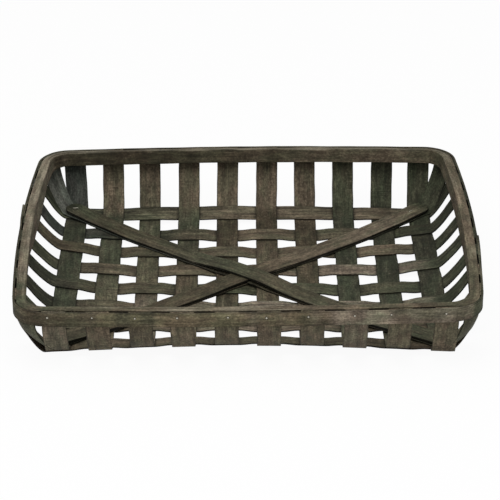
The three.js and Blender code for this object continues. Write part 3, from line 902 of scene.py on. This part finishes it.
def brace(way, over):
    """A stiff stick with rounded ends, level across."""
    turned, front_out, back_out, shift, _, _ = BRACE_STRAYS[way]
    angle = DIAGONAL + turned
    seed = 50 + way
    rng = np.random.default_rng(seed)
    half_width = BRACE_WIDTH / 2
    start, end = -BRACE_REACH - front_out, BRACE_REACH + back_out
    close = half_width * (1 - np.cos(np.linspace(0, pi / 2, 11)))
    inner = np.linspace(start + half_width, end - half_width, BRACE_STATIONS)[1:-1]
    q = np.concatenate([start + close, inner, end - close[::-1]])[:, None]
    to_end = np.minimum(q - start, end - q)
    from_cap = 1 - np.minimum(to_end / half_width, 1)
    rounding = np.sqrt(np.clip(1 - from_cap**2 * BRACE_ROUNDING, 0, 1))
    c = lines_across(2, 0.05, 6) * half_width * rounding
    x, y = diagonal(q, c, way, angle)
    middle = points(x + shift, y, brace_height(q, way, over, angle))
    along = lengths(middle)
    stray = wander(along, rng, BOARD_STRAY, (170, 90))[:, None, None]
    middle = middle + unit(middle[:, -1:] - middle[:, :1]) * stray
    edge = half_width * rounding - np.abs(c)
    half = BRACE_THICK / 2 - pinch(np.minimum(edge, to_end), BRACE_ARRIS)
    stops, names = zip(*BRACE_STAINS[way])
    stain = stain_along(stops, names, along, middle.shape[1], rng)
    rub = 0.2 * (1 - smooth(edge / 3)) + wander(along, rng, 0.1, (200, 90))[:, None]
    # Painted shade on the brace's thin edges and on its underside.
    low = mix(BRACE_EDGE_SHADE, BRACE_UNDER_SHADE, smooth(edge / 4))
    top = mix(BRACE_EDGE_SHADE, 1, smooth(edge / 0.5))
    name = f"brace_back_{'right' if way > 0 else 'left'}"
    board(
        f"{name}_stick", name, BRACE_WOOD, middle, half, c, stain, rub,
        seed * GRAIN_SHIFT, (low, top) if way > 0 else (top, low),
    )


# Rim


def stations(start, end, step, extra):
    """Even places along the rim, with extra ones in place of those that lie close to them."""
    even = np.linspace(start, end, int((end - start) / step) + 1)
    kept = [d for d in even if all(abs(d - e) > 0.3 * step for e in extra)]
    return np.array(sorted([*kept, *extra]))


def eased(value, places, heights):
    """Goes from height to height, levelling out at each place."""
    places, heights = np.array(places), np.array(heights)
    k = np.clip(np.searchsorted(places, value) - 1, 0, len(places) - 2)
    share = smooth((value - places[k]) / (places[k + 1] - places[k]))
    return mix(heights[k], heights[k + 1], share)


def bar_lean(x, y):
    """The lean of the bar's inner face, and how much of it the whole bar takes part in."""
    left, right = (eased(y, BAR_LEAN_AT, leans) for leans in (LEFT_BAR_LEANS, RIGHT_BAR_LEANS))
    lean = np.radians(mix(left, right, smooth(x / RIM_X / 2 + 0.5)))
    return lean, smooth((y - WHOLE_LEAN_FROM) / WHOLE_LEAN_EASE)


def upright(x, _):
    """The same for a board that stands straight."""
    return 0 * x, 0 * x


def rim_board(name, node, material, d, faces, arris, stain, rub, rng, seed, dark, lean):
    """A board that runs round the rim on edge. faces has its outer and inner insets, and dark how
    its outer and inner sides' stains are dimmed under the top edge: painted shade in the slot
    between bar and hoop. stain and rub are worked out from the depth under that edge, and lean
    from the place."""
    outer, inner = faces
    depth = np.concatenate([
        arris * ARRIS_STEPS,
        np.linspace(arris, RIM_HEIGHT - arris, 7)[1:],
        RIM_HEIGHT - arris * ARRIS_STEPS[-2::-1],
    ])[None, :]
    bulge = wander(d, rng, RIM_BULGE, (190, 83))[:, None] * np.sin(depth / RIM_HEIGHT * pi)
    inset = ((inner + outer) / 2)[:, None] + bulge
    ripple = wander(d, rng, RIM_RIPPLE, (260, 120, 57))[:, None]
    angle, whole = (part[:, None] for part in lean(*rim_line(d, 0)))
    spread = depth * np.sin(angle) * (1 - whole)
    reach = inset - BAR_OFFSET
    within = BAR_OFFSET + reach * np.cos(angle) + depth * np.sin(angle) * whole + spread / 2
    under = depth * np.cos(angle) - reach * np.sin(angle)
    x, y = rim_line(np.broadcast_to(d[:, None], inset.shape), within)
    middle = points(x, y, RIM_TOP + rim_tilt(x, y) + ripple - under)
    thick = (inner - outer)[:, None] + spread
    rounded = np.minimum(arris, thick * 0.42)
    to_edge = np.minimum(depth, RIM_HEIGHT - depth)
    half = thick / 2 - pinch(to_edge, rounded)
    grid = np.broadcast_to(depth, half.shape)
    # Painted shade under the top edge, from dark.
    below = smooth((depth - 0.4 * arris) / (0.8 * arris))
    dims = [mix(1, dim, below) for dim in dark]
    board(
        name, node, material, middle, half, grid, stain(depth), rub(depth),
        seed * GRAIN_SHIFT, (dims[1], dims[0]),
    )


def rim_bar():
    """The bar's ends are slanted and lie on each other at the back right."""
    seed = 60
    rng = np.random.default_rng(seed)
    start = BAR_SCARF_AT - BAR_SCARF
    end = start + RIM_AROUND + BAR_SCARF
    slant_end, slant_start = start + BAR_SCARF, end - BAR_SCARF
    d = stations(start, end, BAR_STEP, (slant_end, slant_start))
    at_front = smooth((BAR_SLACK_FROM - rim_line(d, 0)[1]) / BAR_SLACK_EASE)
    front_arcs = ARCS[[FRONT_RIGHT, FRONT_LEFT]]
    corners = [(d % RIM_AROUND - arc[4]) / arc[5] for arc in front_arcs]
    within = lambda t: smooth((t - CLOSED_FROM) / CLOSED_EASE)
    closed = sum(within(t) * within(1 - t) for t in corners)
    outer = mix(BAR_OFFSET + BAR_SLACK * at_front, HOOP_THICK + CLOSED_GAP, closed)
    inner = BAR_OFFSET + BAR_THICK + BAR_SLACK_INSIDE * BAR_SLACK * at_front
    slant = lambda t: mix(BAR_OFFSET + SCARF_TIP, inner - SCARF_TIP, np.clip(t / BAR_SCARF, 0, 1))
    gap = CLEARANCE / 2
    out_face = np.where(d >= slant_start, slant(d - slant_start) + gap, outer)
    in_face = np.where(d <= slant_end, slant(d - start) - gap, inner)
    stops, names, wear = zip(*BAR_STAINS)
    share = (d - d[0]) / (d[-1] - d[0])
    worn = np.interp(share, stops, wear)[:, None] + wander(d, rng, 0.15, (150, 70))[:, None]
    stain = lambda depth: stain_along(stops, names, d - d[0], depth.shape[1], rng)
    rub = lambda depth: worn * mix(1, 0.15, smooth((depth - 0.5) / 2))
    # The bar's outer face, in the slot behind the hoop, is dimmed as painted shade; its inner face
    # a little.
    rim_board(
        "rim_bar_rubbed", "rim_bar", BAR_WOOD, d, (out_face, in_face), BAR_ARRIS,
        stain, rub, rng, seed, (0.15, 0.8), bar_lean,
    )


HOOP_END = ARCS[LEFT, 4] + ARCS[LEFT, 5] / 2 + HOOP_LAP_AT
HOOP_START = HOOP_END - RIM_AROUND - HOOP_LAP
# At the front right corner it looks as if a second length came out from under the first.
HOOP_SEAM = ARCS[FRONT_RIGHT, 4] + ARCS[FRONT_RIGHT, 5] * 0.93
# Where the hoop steps out, on its right side and at the seam, how far, and how soon it is back.
HOOP_STEPS = ((661.0, 2.2, 130.0), (HOOP_SEAM, 1.3, 90.0))


def hoop_faces(d):
    """The hoop's outer and inner insets. Its outer end lies on its inner one at the left, where
    both are thinned, and it steps out in two places."""
    front, behind = HOOP_END - d, d - HOOP_START
    tip, taper = HOOP_LAP_TIP + CLEARANCE, HOOP_THICK - HOOP_LAP_TIP
    lapped = tip + taper * (1 - front / HOOP_LAP)
    easing = tip * (1 - smooth((front - HOOP_LAP) / HOOP_LAP_EASE))
    out = np.where(front < HOOP_LAP, lapped, easing)
    thinned = taper * (1 - np.clip(behind / HOOP_LAP, 0, 1))
    step = 0
    for at, rise, run in HOOP_STEPS:
        step = step + np.where(d > at, rise * (1 - smooth((d - at) / run)), 0)
    return thinned - out - step, HOOP_THICK - out


def outer_hoop():
    seed = 61
    rng = np.random.default_rng(seed)
    steps = [at + side for at, _, _ in HOOP_STEPS for side in (-0.2, 0.2)]
    d = stations(HOOP_START, HOOP_END, HOOP_STEP, steps)
    seam = (HOOP_SEAM - HOOP_START) / (HOOP_END - HOOP_START)
    # From the left side clockwise: back, right side, front from its right end, and left side.
    stops, names = zip(
        (0, "moss"), (0.1, "olive"), (0.34, "olive"), (0.42, "charcoal"), (0.55, "moss"),
        (seam - 0.002, "moss"), (seam + 0.002, "oak"), (0.635, "ash"), (0.65, "driftwood"),
        (0.665, "ash"), (0.69, "umber"), (0.72, "tan"), (0.785, "tan"), (0.8, "olive"),
        (0.83, "olive"), (0.86, "bark"), (1, "moss"),
    )
    dim = lambda depth: mix(*HOOP_SHADES, smooth((depth - 5) / 14))[..., None]
    stain = lambda depth: stain_along(stops, names, d - d[0], depth.shape[1], rng) * dim(depth)
    streaks = wander(d, rng, 0.15, (170, 60))[:, None]
    rub = lambda depth: mix(0.3, 0.08, smooth(depth / 2.5)) + streaks
    # The hoop's inner face, in the slot in front of the bar, is dimmed as painted shade.
    rim_board(
        "outer_hoop_bent", "outer_hoop", HOOP_WOOD, d, hoop_faces(d), HOOP_ARRIS,
        stain, rub, rng, seed, (1, 0.15), upright,
    )


# Fastenings


def rim_spot(side, axis, value):
    """How far along the rim a place on one of its sides lies, from one of its coordinates."""
    start, length = ARCS[side, 4:]
    d = np.linspace(start - 20, start + length + 20, 600)
    line = rim_line(d, 0)[axis]
    order = np.argsort(line)
    return float(np.interp(value, line[order], d[order]))


def hoop_face(d):
    """The outer inset of the hoop, or of its outer end where it lies on itself."""
    turns = [d + turn * RIM_AROUND for turn in (-1, 0, 1)]
    return min(float(hoop_faces(v)[0]) for v in turns if HOOP_START <= v <= HOOP_END)


def nail(node, d, seed):
    """A nail driven through the hoop and a splint's end into the bar. Its head is domed."""
    rng = np.random.default_rng(seed)
    r = NAIL_HEAD_RADIUS * rng.uniform(0.85, 1.05)
    thick = NAIL_HEAD_THICK
    profile = [
        (0, thick), (r * 0.45, thick * 0.93), (r * 0.78, thick * 0.62), (r, thick * 0.2),
        (r * 0.97, 0.05), (NAIL_RADIUS, -0.3), (NAIL_RADIUS, 3 - NAIL_LENGTH), (0, -NAIL_LENGTH),
    ]
    work = bmesh.new()
    struck = work.verts.layers.float.new("struck")
    chain = [work.verts.new((a * MM, 0, b * MM)) for a, b in profile]
    for vertex, shine in zip(chain, (1, 0.8, 0.25, 0, 0, 0, 0, 0)):
        vertex[struck] = shine
    edges = [work.edges.new(pair) for pair in zip(chain, chain[1:])]
    bmesh.ops.spin(
        work, geom=chain + edges, cent=(0, 0, 0), axis=(0, 0, 1),
        angle=2 * pi, steps=12, use_merge=True,
    )
    bmesh.ops.remove_doubles(work, verts=work.verts, dist=1e-6)
    bmesh.ops.recalc_face_normals(work, faces=work.faces)
    x, y = (float(v) for v in rim_line(d, hoop_face(d)))
    within = [float(v) for v in rim_line(d, hoop_face(d) + 10)]
    z = RIM_TOP + float(rim_tilt(x, y)) - NAIL_DROP + rng.uniform(-0.8, 0.8)
    out = Vector((x - within[0], y - within[1], rng.uniform(-0.6, 0.6)))
    turn = out.to_track_quat("Z", "Y").to_matrix().to_4x4()
    place = Matrix.Translation(Vector((x, y, z)) * MM) @ turn
    bmesh.ops.transform(work, matrix=place, verts=work.verts)
    finished(work, f"driven_{node}", node, NAIL_STEEL)


def rim_nails():
    for i in range(1, STAKES + 1):
        stray = STAKE_STRAYS[i - 1]
        behind = stake_place(i, 0) + stray[2] + stray[3]
        nail(f"nail_front_{i}", rim_spot(FRONT, 0, FRONT_NAILS[i - 1] + RIM_CENTRE[0]), 100 + i)
        nail(f"nail_back_{i}", rim_spot(BACK, 0, behind + RIM_CENTRE[0]), 120 + i)
    for j in range(1, ROWS + 1):
        y = row_place(j, 0) + RIM_CENTRE[1]
        nail(f"nail_left_{j}", rim_spot(LEFT, 1, y), 140 + j)
        nail(f"nail_right_{j}", rim_spot(RIGHT, 1, y), 150 + j)


def staple(name, q, way, over, skew):
    """A wire staple driven across a brace, close to its end."""
    angle = DIAGONAL + BRACE_STRAYS[way][0]
    bend, depth = 1.2, 3.0
    quarter = {"axis": (0, 1, 0), "angle": pi / 2, "steps": 4}
    work = bmesh.new()
    struck = work.verts.layers.float.new("struck")
    bmesh.ops.create_circle(work, segments=8, radius=STAPLE_WIRE)
    first = last = work.edges[:]

    def pushed(edges, x, z):
        grown = bmesh.ops.extrude_edge_only(work, edges=edges)["geom"]
        bmesh.ops.translate(work, vec=(x, 0, z), verts=only(bmesh.types.BMVert, grown))
        return only(bmesh.types.BMEdge, grown)

    def turned(edges, x, z):
        ends = bmesh.ops.spin(work, geom=edges, cent=(x, 0, z), **quarter)["geom_last"]
        return only(bmesh.types.BMEdge, ends)

    last = pushed(last, 0, depth)
    last = turned(last, bend, depth)
    last = pushed(last, STAPLE_WIDTH - 2 * bend, 0)
    last = turned(last, STAPLE_WIDTH - bend, depth)
    last = pushed(last, 0, -depth)
    bmesh.ops.holes_fill(work, edges=first + last, sides=8)
    bmesh.ops.recalc_face_normals(work, faces=work.faces)
    for vertex in work.verts:
        vertex[struck] = 1
    bmesh.ops.translate(work, vec=(-STAPLE_WIDTH / 2, 0, -depth - bend), verts=work.verts)
    x, y = diagonal(q, 0, way, angle)
    z = float(brace_height(q, way, over, angle)) + BRACE_THICK / 2 + STAPLE_WIRE * 0.8
    turn = Matrix.Rotation(skew, 4, "Z")
    place = Matrix.Translation((x + BRACE_STRAYS[way][3], y, z))
    bmesh.ops.transform(work, matrix=Matrix.Scale(MM, 4) @ place @ turn, verts=work.verts)
    finished(work, name, None, NAIL_STEEL)


def brace_staples():
    at = CORNER_REACH + 2
    staple("staple_brace_back_left", at, -1, True, 0.15)
    staple("staple_brace_front_right", -at, -1, True, -0.5)
    staple("staple_brace_back_right", at - 16, 1, False, 0.7)
    staple("staple_brace_front_left", -at, 1, False, 0.4)


for i in range(1, STAKES + 1):
    stake(i)
for j in range(1, ROWS + 1):
    row(j)
corner_splint(1, False)
corner_splint(-1, True)
brace(1, False)
brace(-1, True)
rim_bar()
outer_hoop()
rim_nails()
brace_staples()


# Stage


def studio_floor():
    """A pale floor. The camera sees it as white, with a trace of the basket's shadow."""
    floor = Finish(bpy.data.materials.new("pale_studio_floor"))
    plain = floor.node("ShaderNodeBsdfDiffuse", {}, {"Color": (0.86, 0.86, 0.86, 1)})
    white = floor.node("ShaderNodeEmission", {}, {"Color": (1, 1, 1, 1), "Strength": 1.0})
    share = (floor.ray("Camera") + floor.ray("Glossy")) * 0.94
    shown = floor.node("ShaderNodeMixShader", {}, {0: share, 1: plain, 2: white})
    work = bmesh.new()
    bmesh.ops.create_grid(work, x_segments=2, y_segments=2, size=6)
    bmesh.ops.translate(work, vec=(0, 0, -0.0005), verts=work.verts)
    meshed(work, "studio_floor", floor.surface(shown))


def studio_world(strength):
    """Soft white light from all round, seen as plain white."""
    world = bpy.data.worlds.new("soft_white_room")
    bpy.context.scene.world = world
    room = Finish(world)
    rays = {0: room.ray("Camera"), 1: room.ray("Transmission")}
    most = room.node("ShaderNodeMath", {"operation": "MAXIMUM"}, rays)
    values = {"Value": most, "To Min": strength, "To Max": 1.0}
    level = room.node("ShaderNodeMapRange", {}, values, "Result")
    values = {"Color": (1, 1, 1, 1), "Strength": level}
    light = room.node("ShaderNodeBackground", {}, values)
    room.node("ShaderNodeOutputWorld", {}, {"Surface": light})


def softbox(name, place, size, watts):
    light = bpy.data.lights.new(name, "AREA")
    light.size = size
    light.energy = watts
    lamp = placed(name, light)
    lamp.location = place
    lamp.rotation_euler = (-Vector(place)).to_track_quat("-Z", "Y").to_euler()


def photo_camera():
    """The photo's own camera, in radians and millimetres, and in pixels of the photo."""
    rise, turn, roll, away = 0.48059, -0.00374, -0.00022, 3504.46
    photo_pixels, focal_pixels, centre_pixels = 500, 2200, (247.38, 279.85)
    level = Matrix(((1, 0, 0), (0, sin(rise), cos(rise)), (0, cos(rise), -sin(rise))))
    right, up, ahead = Matrix.Rotation(-roll, 3, "Z") @ level @ Matrix.Rotation(-turn, 3, "Z")
    camera = bpy.data.cameras.new("photo_camera")
    camera.lens = focal_pixels / photo_pixels * camera.sensor_width
    camera.shift_x = (photo_pixels / 2 - centre_pixels[0]) / photo_pixels
    camera.shift_y = (centre_pixels[1] - photo_pixels / 2) / photo_pixels
    piece = placed("photo_camera", camera)
    place = Vector((0, 0, WEAVE_HALF)) - ahead * away
    facing_photo = Matrix((right, up, -ahead)).transposed().to_4x4()
    piece.matrix_world = Matrix.Translation(place * MM) @ facing_photo
    bpy.context.scene.camera = piece


studio_floor()
studio_world(0.6)
softbox("overhead_softbox", (-0.3, -0.8, 2.4), 2.0, 36)
photo_camera()
bpy.context.scene.view_settings.view_transform = "Standard"
